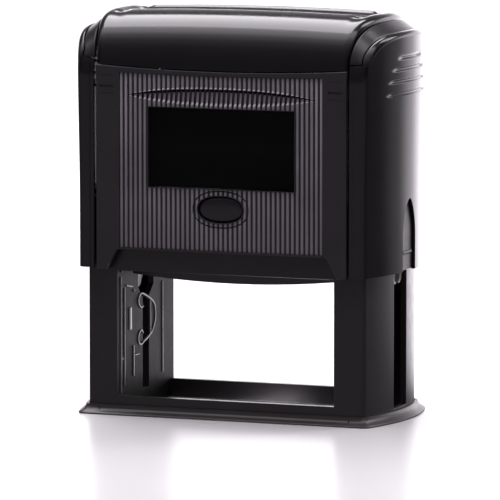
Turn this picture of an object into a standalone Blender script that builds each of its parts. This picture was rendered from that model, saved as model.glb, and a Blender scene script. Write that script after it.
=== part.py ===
"""Self-inking stamp with a rectangular plate, as an assembly of separate pieces.

Frame: metres, +Z up, front face towards -Y, origin at the centre of the foot's
underside.  Dimensions below are in millimetres and are scaled by MM where the
meshes are made.

How it works: the cover slides down over the inner frame against the return
spring.  The carrier bridge inside the cover carries the platen on two axle
pins, and the platen turns half a turn on the way down, from the ink pad to
the paper.
"""
import math
import bpy
import bmesh
from mathutils import Matrix

MM = 0.001

# ---- driving dimensions, millimetres ------------------------------------
# foot
FOOT_HALF_W, FOOT_HALF_D, FOOT_BULGE = 43.0, 23.8, 4.4
SKIRT_TOP = 2.75
# inner frame
FR_HALF_W, FR_HALF_D, FR_BULGE = 40.85, 21.0, 3.5
FR_UPPER_HALF_D = 19.8          # the frame steps in where the cover hides it
FR_STEP_Z = 47.2
FR_TOP = 60.6
WIN_HALF_W = 32.3               # window and inner cavity, half width
RAIL_TOP = 5.2                  # top of the foot's front and rear rails
BAR_BOTTOM = 40.5               # underside of the front and rear crossbars
WALL_IN = 1.6                   # inner wall of each column
SLOT_HALF = 5.0                 # slot down the outside of each column
AXLE_SLOT_HALF = 2.2
# moving stroke and platen
STROKE = 33.0
AXLE_Z = 40.0
FACE_ABOVE_AXLE = 7.0
PLATEN_HALF_L, PLATEN_HALF_D = 30.3, 15.5
PLATEN_BACK_MID, PLATEN_BACK_END = 37.2, 39.0
PIN_R = 1.8
# ink pad
PAD_FACE_Z = 48.6
# cover
CV_HALF_W, CV_HALF_D, CV_BULGE = 42.6, 24.5, 4.8
CV_BOTTOM = 41.5
SKIN = 1.8
PANEL_HALF_W = 37.2
PANEL_BOTTOM, PANEL_TOP = 46.8, 98.4
LUG_BOTTOM, LUG_INNER = 40.9, 34.3
PANEL_T = 1.9
# top shape: a super-ellipse across the depth
SE_N, SE_Z0 = 3.1, 93.0
HOOD_TOP, HOOD_ARCH = 113.7, 0.9
HOOD_END_BOW = 0.75             # the hood's ends follow this share of the side's bow
BAND_TOP_IN, BAND_TOP_OUT = 110.9, 108.2
BAND_START_Z = 100.0
# label and button
LABEL_CX, LABEL_HALF_W, LABEL_Z0, LABEL_Z1 = 0.2, 21.6, 64.75, 86.8
BTN_Z = 59.0
BTN_HALF_W, BTN_HALF_H = 6.75, 3.7
BEZ_HALF_W, BEZ_HALF_H = 8.05, 4.95
# return spring
SPR_R, SPR_WIRE, SPR_TURNS = 7.2, 0.45, 7.5
SPR_Z0, SPR_Z1 = 61.9, 106.1


# ---- helpers -------------------------------------------------------------
for ob in list(bpy.data.objects):
    bpy.data.objects.remove(ob, do_unlink=True)

MATS = {}


def material(name, rgb, rough, metal=0.0, alpha=1.0):
    m = bpy.data.materials.new(name)
    m.use_nodes = True
    b = m.node_tree.nodes["Principled BSDF"]
    b.inputs["Base Color"].default_value = (*rgb, 1.0)
    b.inputs["Roughness"].default_value = rough
    b.inputs["Metallic"].default_value = metal
    b.inputs["Alpha"].default_value = alpha
    m.diffuse_color = (*rgb, alpha)
    return m


def obj_from_bm(name, bm, mat=None, smooth=False):
    bmesh.ops.recalc_face_normals(bm, faces=bm.faces)
    me = bpy.data.meshes.new(name)
    bm.to_mesh(me)
    bm.free()
    ob = bpy.data.objects.new(name, me)
    bpy.context.scene.collection.objects.link(ob)
    if mat is not None:
        me.materials.append(mat)
    if smooth:
        me.shade_smooth()
        me.set_sharp_from_angle(angle=math.radians(35))
    return ob


def prism_bm(outline, lo, hi, axis="Z"):
    """Closed prism over a plane outline; lo and hi are along the axis."""
    def put(a, b, h):
        if axis == "Z":
            return (a * MM, b * MM, h * MM)
        if axis == "Y":
            return (a * MM, h * MM, b * MM)
        return (h * MM, a * MM, b * MM)
    bm = bmesh.new()
    v0 = [bm.verts.new(put(a, b, lo)) for a, b in outline]
    v1 = [bm.verts.new(put(a, b, hi)) for a, b in outline]
    n = len(outline)
    bm.faces.new(v0)
    bm.faces.new(v1)
    for i in range(n):
        j = (i + 1) % n
        bm.faces.new((v0[i], v0[j], v1[j], v1[i]))
    return bm


def prism(name, outline, lo, hi, axis="Z", mat=None, smooth=False):
    return obj_from_bm(name, prism_bm(outline, lo, hi, axis), mat, smooth)


def box(name, x0, x1, y0, y1, z0, z1, mat=None):
    return prism(name, [(x0, y0), (x1, y0), (x1, y1), (x0, y1)], z0, z1, "Z", mat)


def loft(name, rings, mat=None, smooth=False):
    """Closed body through a list of equal rings of (x, y, z), capped."""
    bm = bmesh.new()
    vr = [[bm.verts.new((x * MM, y * MM, z * MM)) for x, y, z in r] for r in rings]
    n = len(rings[0])
    for a, b in zip(vr, vr[1:]):
        for i in range(n):
            j = (i + 1) % n
            bm.faces.new((a[i], a[j], b[j], b[i]))
    bm.faces.new(vr[0])
    bm.faces.new(vr[-1])
    return obj_from_bm(name, bm, mat, smooth)


def combine(target, others, op):
    """Boolean target with each other body, exact solver, and keep the result."""
    for o in others:
        m = target.modifiers.new("b", "BOOLEAN")
        m.operation = op
        m.solver = "EXACT"
        m.object = o
        bpy.context.view_layer.update()
        dg = bpy.context.evaluated_depsgraph_get()
        me = bpy.data.meshes.new_from_object(target.evaluated_get(dg))
        old = target.data
        target.modifiers.clear()
        target.data = me
        me.name = target.name
        bpy.data.meshes.remove(old)
        bpy.data.objects.remove(o, do_unlink=True)
    return target


def cut(target, *others):
    return combine(target, others, "DIFFERENCE")


def join(target, *others):
    return combine(target, others, "UNION")


def common(target, *others):
    return combine(target, others, "INTERSECT")


def arc_x(half_w, half_d, bulge, y):
    """X of the bowed side at depth y: a circular arc through the corners."""
    r = (half_d * half_d + bulge * bulge) / (2.0 * bulge)
    return half_w + bulge - r + math.sqrt(max(r * r - y * y, 0.0))


def side_arc(half_w, half_d, bulge, n=12):
    """Points of the right-hand side from front to rear."""
    return [(arc_x(half_w, half_d, bulge, y), y)
            for y in [-half_d + 2 * half_d * i / n for i in range(n + 1)]]


def plan(half_w, half_d, bulge, n=12):
    """Plan outline: flat front and rear, bowed sides, counter-clockwise."""
    r = side_arc(half_w, half_d, bulge, n)
    return r + [(-x, -y) for x, y in r]


def oval(cx, cz, a, b, n=28, p=2.3):
    pts = []
    for i in range(n):
        t = 2 * math.pi * i / n
        c, s = math.cos(t), math.sin(t)
        pts.append((cx + a * math.copysign(abs(c) ** (2 / p), c),
                    cz + b * math.copysign(abs(s) ** (2 / p), s)))
    return pts


def circle(cx, cy, r, n=20):
    return [(cx + r * math.cos(2 * math.pi * i / n),
             cy + r * math.sin(2 * math.pi * i / n)) for i in range(n)]


def mirrored(src, name, mat=None):
    """Copy of a piece, mirrored in X, with its faces turned back out."""
    me = src.data.copy()
    me.name = name
    bm = bmesh.new()
    bm.from_mesh(me)
    bmesh.ops.scale(bm, vec=(-1, 1, 1), verts=bm.verts)
    bmesh.ops.reverse_faces(bm, faces=bm.faces)
    bm.to_mesh(me)
    bm.free()
    ob = bpy.data.objects.new(name, me)
    bpy.context.scene.collection.objects.link(ob)
    if mat is not None:
        me.materials.clear()
        me.materials.append(mat)
    return ob


def top_profile(half_d, z_top, z_from, steps):
    """(y, z) points over the top, front to rear, from height z_from."""
    h = z_top - SE_Z0
    s0 = ((z_from - SE_Z0) / h) ** (SE_N / 2.0)
    t0 = math.asin(s0)
    pts = []
    for i in range(steps + 1):
        t = t0 + (math.pi - 2 * t0) * i / steps
        c, s = math.cos(t), math.sin(t)
        pts.append((-half_d * math.copysign(abs(c) ** (2 / SE_N), c),
                    SE_Z0 + h * abs(s) ** (2 / SE_N)))
    return pts


# ---- materials -----------------------------------------------------------
black = material("black_abs", (0.020, 0.019, 0.021), 0.35)
gloss = material("black_gloss_abs", (0.018, 0.017, 0.019), 0.22)
charcoal = material("charcoal_abs", (0.035, 0.032, 0.036), 0.42)
label_black = material("label_black", (0.004, 0.004, 0.004), 0.5)
clear = material("clear_window", (0.8, 0.8, 0.8), 0.1, 0.0, 0.35)
ink_felt = material("ink_felt", (0.015, 0.015, 0.03), 0.95)
rubber = material("die_rubber", (0.05, 0.05, 0.055), 0.8)
foam = material("foam", (0.12, 0.12, 0.13), 0.95)
steel = material("spring_steel", (0.55, 0.55, 0.57), 0.3, 1.0)
acetal = material("grey_acetal", (0.10, 0.10, 0.105), 0.4)

# ---- inner frame -----------------------------------------------------------
frame = prism("inner_frame", plan(FR_HALF_W, FR_HALF_D, FR_BULGE), 0, FR_TOP, "Z", black)
cut(frame,
    box("c", -50, 50, -26, -FR_UPPER_HALF_D, FR_STEP_Z, 70),
    box("c", -50, 50, FR_UPPER_HALF_D, 26, FR_STEP_Z, 70),
    # chamber for the platen, then the ledge the ink cartridge rests on, then its bay
    box("c", -WIN_HALF_W, WIN_HALF_W, -19, 19, -1, 47.4),
    box("c", -WIN_HALF_W + 0.4, WIN_HALF_W - 0.4, -16.7, 16.7, 47.0, 49.5),
    box("c", -WIN_HALF_W, WIN_HALF_W, -18.3, 18.3, 49.0, 58.6),
    # front and rear windows
    box("c", -WIN_HALF_W, WIN_HALF_W, -30, 30, RAIL_TOP, BAR_BOTTOM),
    # rear door for the ink cartridge, and the notch that the lock button finds
    box("c", -31.0, 31.0, 17.5, 26, 49.3, 58.3),
    box("c", -4.2, 4.2, -26, -17.5, 51.4, 54.6))
hollow = [(WIN_HALF_W + WALL_IN, -19.0)] + side_arc(39.7, 19.0, 2.85) + [(WIN_HALF_W + WALL_IN, 19.0)]
for sx in (1, -1):
    cut(frame, prism("c", [(sx * x, y) for x, y in hollow], -1, 58.6))
for sx in (1, -1):
    xs = sorted((sx * 38.0, sx * 50.0))
    cut(frame, box("c", *xs, -SLOT_HALF, SLOT_HALF, 3.4, 70))
    xs = sorted((sx * 31.0, sx * 35.0))
    # axle slot with a wider head, down the inner wall
    head = [(-AXLE_SLOT_HALF, 4.9), (AXLE_SLOT_HALF, 4.9), (AXLE_SLOT_HALF, 31.0),
            (5.6, 34.0), (5.6, 44.0), (-5.6, 44.0), (-5.6, 34.0), (-AXLE_SLOT_HALF, 31.0)]
    cut(frame, prism("c", head, *xs, "X"))

# ---- skirt round the foot ----------------------------------------------------
def ring_body(name, outer_rings, inner, z0, z1, mat):
    """Ring between stacked outer outlines and one inner outline."""
    bm = bmesh.new()
    outs = [[bm.verts.new((x * MM, y * MM, z * MM)) for x, y in o] for o, z in outer_rings]
    ins = [[bm.verts.new((x * MM, y * MM, z * MM)) for x, y in inner] for z in (z0, z1)]
    n = len(inner)
    loops = outs + [ins[1], ins[0]]
    for a, b in zip(loops, loops[1:] + loops[:1]):
        for i in range(n):
            j = (i + 1) % n
            bm.faces.new((a[i], a[j], b[j], b[i]))
    return obj_from_bm(name, bm, mat)


skirt = ring_body(
    "base_skirt",
    [(plan(FOOT_HALF_W, FOOT_HALF_D, FOOT_BULGE), 0.0),
     (plan(FOOT_HALF_W, FOOT_HALF_D - 0.1, FOOT_BULGE), 0.6),
     (plan(42.2, 22.6, 4.1), 1.8),
     (plan(41.5, 21.75, 3.75), SKIRT_TOP)],
    plan(41.1, 21.3, 3.5), 0.0, SKIRT_TOP, black)

# ---- ink cartridge and pad ----------------------------------------------------
tray = box("ink_cartridge", -31.9, 31.9, -17.9, 17.9, 49.3, 58.2, acetal)
cut(tray,
    box("c", -30.7, 30.7, -16.7, 16.7, 48, 54.5),
    box("c", -30.7, 30.7, -16.7, 16.7, 55.7, 60))
join(tray, box("c", -30.6, 30.6, 17.0, 20.4, 49.8, 57.7))
cut(tray, box("c", -14, 14, 19.2, 22, 51.2, 56.2))
# the tray's own top pocket stays open behind the grip
box("ink_pad", -30.4, 30.4, -16.4, 16.4, PAD_FACE_Z, 54.2, ink_felt)

# ---- return spring and its guide --------------------------------------------
guide = prism("spring_guide", circle(0, 0, 8.6), 60.9, 61.6, "Z", black, True)
join(guide, prism("c", circle(0, 0, 5.0), 61.2, 66.0))


def helix(name, r, wire, z0, z1, turns, mat, per_turn=12, sides=6):
    """Wire along a helix with flat ground ends, as one closed tube."""
    n = int(per_turn * turns)
    rings = []
    for i in range(n + 1):
        u = i / n
        # the end coils lie closer together than the active ones
        e = 0.08
        if u < e:
            h = 0.035 * (u / e)
        elif u > 1 - e:
            h = 1 - 0.035 * ((1 - u) / e)
        else:
            h = 0.035 + (u - e) / (1 - 2 * e) * 0.93
        a = 2 * math.pi * turns * u
        cx, cy = r * math.cos(a), r * math.sin(a)
        cz = z0 + wire + (z1 - z0 - 2 * wire) * h
        ring = []
        for k in range(sides):
            b = 2 * math.pi * k / sides
            rr = wire * math.cos(b)
            ring.append((cx + rr * math.cos(a), cy + rr * math.sin(a), cz + wire * math.sin(b)))
        rings.append(ring)
    return loft(name, rings, mat, True)


helix("return_spring", SPR_R, SPR_WIRE, SPR_Z0, SPR_Z1, SPR_TURNS, steel)

# ---- carrier bridge: bar over the spring with a leg down each side ------------
bridge_xz = [(43.2, 44.0), (43.2, 103.5), (14.0, 109.9), (-14.0, 109.9), (-43.2, 103.5), (-43.2, 44.0),
             (-40.0, 44.0), (-40.0, 100.6), (-14.0, 107.1), (14.0, 107.1), (40.0, 100.6), (40.0, 44.0)]
bridge = prism("carrier_bridge", bridge_xz, -3.8, 3.8, "Y", gloss)
for sx in (1, -1):
    # axle block at the foot of the leg: pointed inner lug, tapered outer tab
    xs = sorted((sx * 34.4, sx * 43.2))
    blk = prism("c", [(-3.8, 39.0), (-3.8, 46.0), (3.8, 46.0), (3.8, 39.0), (2.4, 37.6), (-2.4, 37.6)], *xs, "X")
    xs = sorted((sx * 34.4, sx * 36.8))
    lug = prism("c", [(-3.4, 37.0), (-3.4, 41.0), (3.4, 41.0), (3.4, 37.0), (0.9, 33.5), (-0.9, 33.5)], *xs, "X")
    join(blk, lug)
    join(bridge, blk)
    xs = sorted((sx * 30.0, sx * 50.0))
    cut(bridge, prism("c", circle(0, AXLE_Z, 2.1, 24), *xs, "X"))
# widen the bar over the spring
join(bridge, prism("c", circle(0, 0, 9.0), 107.1 + 0.2, 109.9 - 0.2, "Z"))

seat = prism("spring_seat", circle(0, 0, 8.6), 106.3, 106.9, "Z", acetal, True)
join(seat, prism("c", circle(0, 0, 5.0), 103.2, 106.6))

# ---- platen ----------------------------------------------------------------
outline = [(PLATEN_HALF_L, FACE_ABOVE_AXLE + AXLE_Z - 2.6), (-PLATEN_HALF_L, FACE_ABOVE_AXLE + AXLE_Z - 2.6)]
NB = 10
for i in range(NB + 1):
    x = -PLATEN_HALF_L + 2 * PLATEN_HALF_L * i / NB
    outline.append((x, PLATEN_BACK_MID + (PLATEN_BACK_END - PLATEN_BACK_MID) * (x / PLATEN_HALF_L) ** 2))
platen = prism("platen_carrier", outline, -PLATEN_HALF_D, PLATEN_HALF_D, "Y", black)
# the plate's back is chamfered along both long edges and hollowed between ribs
for sy in (1, -1):
    pts = [(sy * 12.6, 36.0), (sy * 17.0, 36.0), (sy * 17.0, 41.6), (sy * 15.5, 41.6)]
    cut(platen, prism("c", pts, -40, 40, "X"))
box("die_foam", -29.9, 29.9, -15.2, 15.2, 44.6, 46.0, foam)
die = box("text_die", -29.6, 29.6, -15.0, 15.0, 46.2, 46.6, rubber)
# raised border and plain bars, the printing relief
border = box("c", -28.8, 28.8, -14.2, 14.2, 46.5, 47.0)
cut(border, box("c", -27.8, 27.8, -13.2, 13.2, 46, 48))
join(die, border,
     box("c", -22, 22, -9.0, -7.0, 46.5, 47.0),
     box("c", -22, 22, -3.0, -1.0, 46.5, 47.0),
     box("c", -22, 22, 3.0, 5.0, 46.5, 47.0),
     box("c", -10, 22, 8.0, 10.0, 46.5, 47.0))
pin = prism("right_axle_pin", circle(0, AXLE_Z, PIN_R, 24), 30.6, 42.4, "X", acetal, True)
mirrored(pin, "left_axle_pin")
fol = prism("right_cam_follower", circle(6.0, AXLE_Z, 1.2, 16), 30.6, 31.9, "X", acetal, True)
mirrored(fol, "left_cam_follower")

# ---- cover: front and rear panels ----------------------------------------------
panel_xz = [(PANEL_HALF_W, LUG_BOTTOM), (PANEL_HALF_W, PANEL_TOP), (-PANEL_HALF_W, PANEL_TOP),
            (-PANEL_HALF_W, LUG_BOTTOM), (-LUG_INNER, LUG_BOTTOM), (-31.0, PANEL_BOTTOM),
            (31.0, PANEL_BOTTOM), (LUG_INNER, LUG_BOTTOM)]
front = prism("front_panel", panel_xz, -CV_HALF_D, -CV_HALF_D + PANEL_T, "Y", charcoal)
cut(front,
    box("c", LABEL_CX - LABEL_HALF_W - 0.15, LABEL_CX + LABEL_HALF_W + 0.15, -26, -23.1,
        LABEL_Z0 - 0.15, LABEL_Z1 + 0.15),
    prism("c", oval(0, BTN_Z, BEZ_HALF_W + 0.25, BEZ_HALF_H + 0.25), -26, -20, "Y"))
prism("rear_panel", panel_xz, CV_HALF_D - PANEL_T, CV_HALF_D, "Y", charcoal)
box("label_card", LABEL_CX - LABEL_HALF_W, LABEL_CX + LABEL_HALF_W, -23.4, -23.22, LABEL_Z0, LABEL_Z1, label_black)
box("label_window", LABEL_CX - LABEL_HALF_W, LABEL_CX + LABEL_HALF_W, -24.35, -23.52, LABEL_Z0, LABEL_Z1, clear)

bezel = prism("button_bezel", oval(0, BTN_Z, BEZ_HALF_W, BEZ_HALF_H), -24.45, -22.85, "Y", charcoal, True)
cut(bezel, prism("c", oval(0, BTN_Z, BTN_HALF_W, BTN_HALF_H), -26, -20, "Y"))
btn = prism("lock_button", oval(0, BTN_Z, BTN_HALF_W - 0.3, BTN_HALF_H - 0.3), -24.2, -22.2, "Y", gloss, True)
join(btn, prism("c", oval(0, BTN_Z, 7.7, 4.6), -22.5, -21.9, "Y"))

# ---- cover: side shells ---------------------------------------------------------
outer = side_arc(CV_HALF_W, CV_HALF_D, CV_BULGE)
inner = side_arc(CV_HALF_W - 1.0, CV_HALF_D - SKIN, CV_BULGE - 0.8)
shell_xy = [(PANEL_HALF_W + 0.5, -CV_HALF_D)] + outer + [(PANEL_HALF_W + 0.5, CV_HALF_D),
            (PANEL_HALF_W + 0.5, CV_HALF_D - SKIN)] + inner[::-1] + [(PANEL_HALF_W + 0.5, -CV_HALF_D + SKIN)]
shell = prism("right_side_shell", shell_xy, CV_BOTTOM, 112.0, "Z", gloss)
over = top_profile(CV_HALF_D + 0.001, BAND_TOP_OUT + 0.1, SE_Z0 + 0.05, 22)
over = [(-30.0, 30.0), (-30.0, SE_Z0)] + over + [(30.0, SE_Z0), (30.0, 30.0)]
common(shell, prism("c", over, 30, 60, "X"))
cut(shell, box("c", 30, 41.3, -30, 30, BAND_START_Z - 0.3, 120))
BUL = [(5.0, 40.0), (5.0, 52.0), (4.4, 55.5), (3.2, 58.5), (1.6, 60.8), (0.0, 61.8),
       (-1.6, 60.8), (-3.2, 58.5), (-4.4, 55.5), (-5.0, 52.0), (-5.0, 40.0)]
cut(shell, prism("c", BUL, 40, 52, "X"))
mirrored(shell, "left_side_shell")

CLIP = [(4.6, CV_BOTTOM + 0.2), (4.6, 52.0), (4.0, 55.2), (2.8, 58.1), (1.3, 60.1), (0.0, 61.1),
        (-1.3, 60.1), (-2.8, 58.1), (-4.0, 55.2), (-4.6, 52.0), (-4.6, CV_BOTTOM + 0.2)]
clip = prism("right_side_clip", CLIP, 43.5, 46.4, "X", black)
mirrored(clip, "left_side_clip")

# ---- cover: sloping end bands and the hood ---------------------------------------
STEPS = 20


def hood_end(y):
    return PANEL_HALF_W + HOOD_END_BOW * (arc_x(CV_HALF_W, CV_HALF_D, CV_BULGE, y) - CV_HALF_W)


rings = []
zi = top_profile(CV_HALF_D - 0.15, BAND_TOP_IN, BAND_START_Z, STEPS)
zo = top_profile(CV_HALF_D - 0.15, BAND_TOP_OUT, BAND_START_Z, STEPS)
zi2 = top_profile(CV_HALF_D - 1.9, BAND_TOP_IN - 1.6, BAND_START_Z, STEPS)
zo2 = top_profile(CV_HALF_D - 1.9, BAND_TOP_OUT - 1.6, BAND_START_Z, STEPS)
for a, b, c2, d in zip(zi, zo, zi2, zo2):
    xo = arc_x(CV_HALF_W - 1.0, CV_HALF_D - SKIN, CV_BULGE - 0.8, max(-22.7, min(22.7, b[0]))) - 0.35
    xi = hood_end(a[0]) + 0.4
    rings.append([(xi, a[0], a[1]), (xo, b[0], b[1]), (xo, d[0], d[1]), (xi, c2[0], c2[1])])
band = loft("right_end_band", rings, gloss)
mirrored(band, "left_end_band")

NX, NP = 12, 22
bm = bmesh.new()
rows_o, rows_i = [], []
for i in range(NX + 1):
    s = -1 + 2 * i / NX
    zt = HOOD_TOP - HOOD_ARCH * s * s
    outer_yz = top_profile(CV_HALF_D, zt, PANEL_TOP + 0.3, NP)
    inner_yz = top_profile(CV_HALF_D - 2.0, zt - 2.0, PANEL_TOP + 0.3, NP)
    rows_o.append([bm.verts.new((s * hood_end(y) * MM, y * MM, z * MM)) for y, z in outer_yz])
    rows_i.append([bm.verts.new((s * hood_end(q[0]) * MM, y * MM, z * MM)) for (y, z), q in zip(inner_yz, outer_yz)])
for rows in (rows_o, rows_i):
    for a, b in zip(rows, rows[1:]):
        for j in range(NP):
            bm.faces.new((a[j], a[j + 1], b[j + 1], b[j]))
for i in (0, NX):
    for j in range(NP):
        bm.faces.new((rows_o[i][j], rows_o[i][j + 1], rows_i[i][j + 1], rows_i[i][j]))
for j in (0, NP):
    for i in range(NX):
        bm.faces.new((rows_o[i][j], rows_o[i + 1][j], rows_i[i + 1][j], rows_i[i][j]))
obj_from_bm("hood", bm, gloss, True)
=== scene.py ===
"""Looks of the self-inking stamp: finished surfaces, materials, light and camera.

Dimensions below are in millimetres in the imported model's own frame, and are
scaled by MM where the meshes are made.
"""
import math
import bmesh
import bpy
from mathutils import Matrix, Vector


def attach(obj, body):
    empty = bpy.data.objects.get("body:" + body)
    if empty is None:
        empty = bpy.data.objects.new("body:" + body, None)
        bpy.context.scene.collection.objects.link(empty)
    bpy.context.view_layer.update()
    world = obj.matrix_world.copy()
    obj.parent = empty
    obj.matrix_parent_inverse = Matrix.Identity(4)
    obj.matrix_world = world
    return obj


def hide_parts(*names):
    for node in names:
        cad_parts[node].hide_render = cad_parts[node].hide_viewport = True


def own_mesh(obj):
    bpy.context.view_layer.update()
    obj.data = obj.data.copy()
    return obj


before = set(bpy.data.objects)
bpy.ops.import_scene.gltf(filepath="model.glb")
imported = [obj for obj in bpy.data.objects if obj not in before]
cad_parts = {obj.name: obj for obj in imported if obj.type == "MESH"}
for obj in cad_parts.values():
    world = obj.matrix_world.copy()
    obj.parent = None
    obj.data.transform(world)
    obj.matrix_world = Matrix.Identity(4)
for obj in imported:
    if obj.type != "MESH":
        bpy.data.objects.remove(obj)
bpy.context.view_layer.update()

MM = 0.001
scene = bpy.context.scene

# ---- driving dimensions ----------------------------------------------------
FOOT_HALF_W, FOOT_HALF_D, FOOT_BULGE = 43.0, 23.8, 4.4
SKIRT_TOP = 2.75
FR_HALF_W, FR_HALF_D, FR_BULGE = 40.85, 21.0, 3.5
FR_UPPER_HALF_D, FR_STEP_Z, FR_TOP = 19.8, 47.2, 60.6
WIN_HALF_W, RAIL_TOP, BAR_BOTTOM = 32.3, 5.2, 40.5
AXLE_Z = 40.0
CV_HALF_W, CV_HALF_D, CV_BULGE, CV_BOTTOM = 42.6, 24.5, 4.8, 41.5
PANEL_HALF_W, PANEL_BOTTOM, PANEL_TOP, PANEL_SAG = 37.2, 46.8, 98.4, 1.2
LUG_BOTTOM, LUG_INNER = 40.9, 34.3
SE_Z0 = 93.0
HOOD_TOP, HOOD_ARCH, HOOD_N = 113.7, 0.9, 3.0
HOOD_END_BOW = 0.75
SHELL_TOP, SHELL_N = 108.3, 3.1
BAND_TOP_IN, BAND_TOP_OUT, BAND_Z = 110.9, 108.2, 100.0
LABEL_CX, LABEL_HALF_W, LABEL_Z0, LABEL_Z1 = 0.2, 21.6, 64.75, 86.8
BTN_Z = 59.0
RIB_N, RIB_FIRST, RIB_W, RIB_H = 43, -29.7, 0.74, 0.42
RIB_PITCH = -2 * RIB_FIRST / (RIB_N - 1)


# ---- mesh helpers ------------------------------------------------------------
def obj_from_bm(name, bm, mat=None, smooth=True, angle=35.0):
    bmesh.ops.recalc_face_normals(bm, faces=bm.faces)
    me = bpy.data.meshes.new(name)
    bm.to_mesh(me)
    bm.free()
    ob = bpy.data.objects.new(name, me)
    scene.collection.objects.link(ob)
    if mat is not None:
        me.materials.append(mat)
    if smooth:
        me.shade_smooth()
        me.set_sharp_from_angle(angle=math.radians(angle))
    return ob


def prism(name, outline, lo, hi, axis="Z"):
    def put(a, b, h):
        if axis == "Z":
            return (a * MM, b * MM, h * MM)
        if axis == "Y":
            return (a * MM, h * MM, b * MM)
        return (h * MM, a * MM, b * MM)
    bm = bmesh.new()
    v0 = [bm.verts.new(put(a, b, lo)) for a, b in outline]
    v1 = [bm.verts.new(put(a, b, hi)) for a, b in outline]
    n = len(outline)
    bm.faces.new(v0)
    bm.faces.new(v1)
    for i in range(n):
        j = (i + 1) % n
        bm.faces.new((v0[i], v0[j], v1[j], v1[i]))
    return obj_from_bm(name, bm, smooth=False)


def box(name, x0, x1, y0, y1, z0, z1):
    return prism(name, [(x0, y0), (x1, y0), (x1, y1), (x0, y1)], z0, z1)


def loft(name, rings, closed=False):
    """Body through equal rings of (x, y, z); capped, or closed on itself."""
    bm = bmesh.new()
    vr = [[bm.verts.new((x * MM, y * MM, z * MM)) for x, y, z in r] for r in rings]
    n = len(rings[0])
    pairs = list(zip(vr, vr[1:]))
    if closed:
        pairs.append((vr[-1], vr[0]))
    for a, b in pairs:
        for i in range(n):
            j = (i + 1) % n
            bm.faces.new((a[i], a[j], b[j], b[i]))
    if not closed:
        bm.faces.new(vr[0])
        bm.faces.new(vr[-1])
    return obj_from_bm(name, bm, smooth=False)


def apply_mods(ob):
    bpy.context.view_layer.update()
    dg = bpy.context.evaluated_depsgraph_get()
    me = bpy.data.meshes.new_from_object(ob.evaluated_get(dg))
    old = ob.data
    ob.modifiers.clear()
    ob.data = me
    me.name = ob.name
    if old.users == 0:
        bpy.data.meshes.remove(old)
    return ob


def combine(target, others, op):
    for o in others:
        m = target.modifiers.new("b", "BOOLEAN")
        m.operation, m.solver, m.object = op, "EXACT", o
        apply_mods(target)
        bpy.data.objects.remove(o, do_unlink=True)
    return target


def cut(target, *others):
    return combine(target, others, "DIFFERENCE")


def join(target, *others):
    return combine(target, others, "UNION")


def common(target, *others):
    return combine(target, others, "INTERSECT")


def tidy(ob, angle=0.6, weld=0.004):
    """Weld slivers and dissolve flat edges that the booleans leave."""
    bm = bmesh.new()
    bm.from_mesh(ob.data)
    bmesh.ops.remove_doubles(bm, verts=bm.verts, dist=weld * MM)
    bmesh.ops.dissolve_limit(bm, angle_limit=math.radians(angle), verts=bm.verts, edges=bm.edges)
    bm.to_mesh(ob.data)
    bm.free()
    return ob


def bevel(ob, width, segments=2, angle=35.0):
    """Rounded edges, as a moulded part has, made real in the mesh."""
    m = ob.modifiers.new("bevel", "BEVEL")
    m.width, m.segments = width * MM, segments
    m.limit_method, m.angle_limit = "ANGLE", math.radians(angle)
    m.harden_normals = False
    m.use_clamp_overlap = True
    m.miter_outer = "MITER_ARC"
    apply_mods(ob)
    ob.data.shade_smooth()
    ob.data.set_sharp_from_angle(angle=math.radians(38))
    return ob


def weighted(ob):
    m = ob.modifiers.new("wn", "WEIGHTED_NORMAL")
    m.keep_sharp = True
    m.weight = 80
    return ob


def arc_x(half_w, half_d, bulge, y):
    r = (half_d * half_d + bulge * bulge) / (2.0 * bulge)
    return half_w + bulge - r + math.sqrt(max(r * r - y * y, 0.0))


def side_arc(half_w, half_d, bulge, n=24):
    return [(arc_x(half_w, half_d, bulge, y), y)
            for y in [-half_d + 2 * half_d * i / n for i in range(n + 1)]]


def plan(half_w, half_d, bulge, n=24):
    r = side_arc(half_w, half_d, bulge, n)
    return r + [(-x, -y) for x, y in r]


def round_plan(half_w, half_d, bulge, rad, n=24, k=4):
    """The plan outline with its four corners rounded."""
    side = side_arc(half_w, half_d, bulge, n)
    xs, ys = side[0]
    x2, y2 = side[1]
    dx, dy = x2 - xs, y2 - ys
    ln = math.hypot(dx, dy)
    a, b = (xs - rad, ys), (xs + dx / ln * rad, ys + dy / ln * rad)
    corner = []
    for i in range(k + 1):
        t = i / k
        corner.append(((1 - t) ** 2 * a[0] + 2 * t * (1 - t) * xs + t * t * b[0],
                       (1 - t) ** 2 * a[1] + 2 * t * (1 - t) * ys + t * t * b[1]))
    mid = [p for p in side[1:-1] if abs(p[1]) < half_d - rad * 1.05]
    right = corner + mid + [(x, -y) for x, y in corner[::-1]]
    return right + [(-x, -y) for x, y in right]


def oval(cx, cz, a, b, n=56, p=2.3):
    pts = []
    for i in range(n):
        t = 2 * math.pi * i / n
        c, s = math.cos(t), math.sin(t)
        pts.append((cx + a * math.copysign(abs(c) ** (2 / p), c),
                    cz + b * math.copysign(abs(s) ** (2 / p), s)))
    return pts


def circle(cx, cy, r, n=32):
    return [(cx + r * math.cos(2 * math.pi * i / n), cy + r * math.sin(2 * math.pi * i / n)) for i in range(n)]


def mirrored(src, name):
    me = src.data.copy()
    me.name = name
    bm = bmesh.new()
    bm.from_mesh(me)
    bmesh.ops.scale(bm, vec=(-1, 1, 1), verts=bm.verts)
    bmesh.ops.reverse_faces(bm, faces=bm.faces)
    bm.to_mesh(me)
    bm.free()
    ob = bpy.data.objects.new(name, me)
    scene.collection.objects.link(ob)
    me.set_sharp_from_angle(angle=math.radians(38))
    return ob


def smooth(a, b, x):
    t = min(max((x - a) / (b - a), 0.0), 1.0)
    return t * t * (3 - 2 * t)


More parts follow.
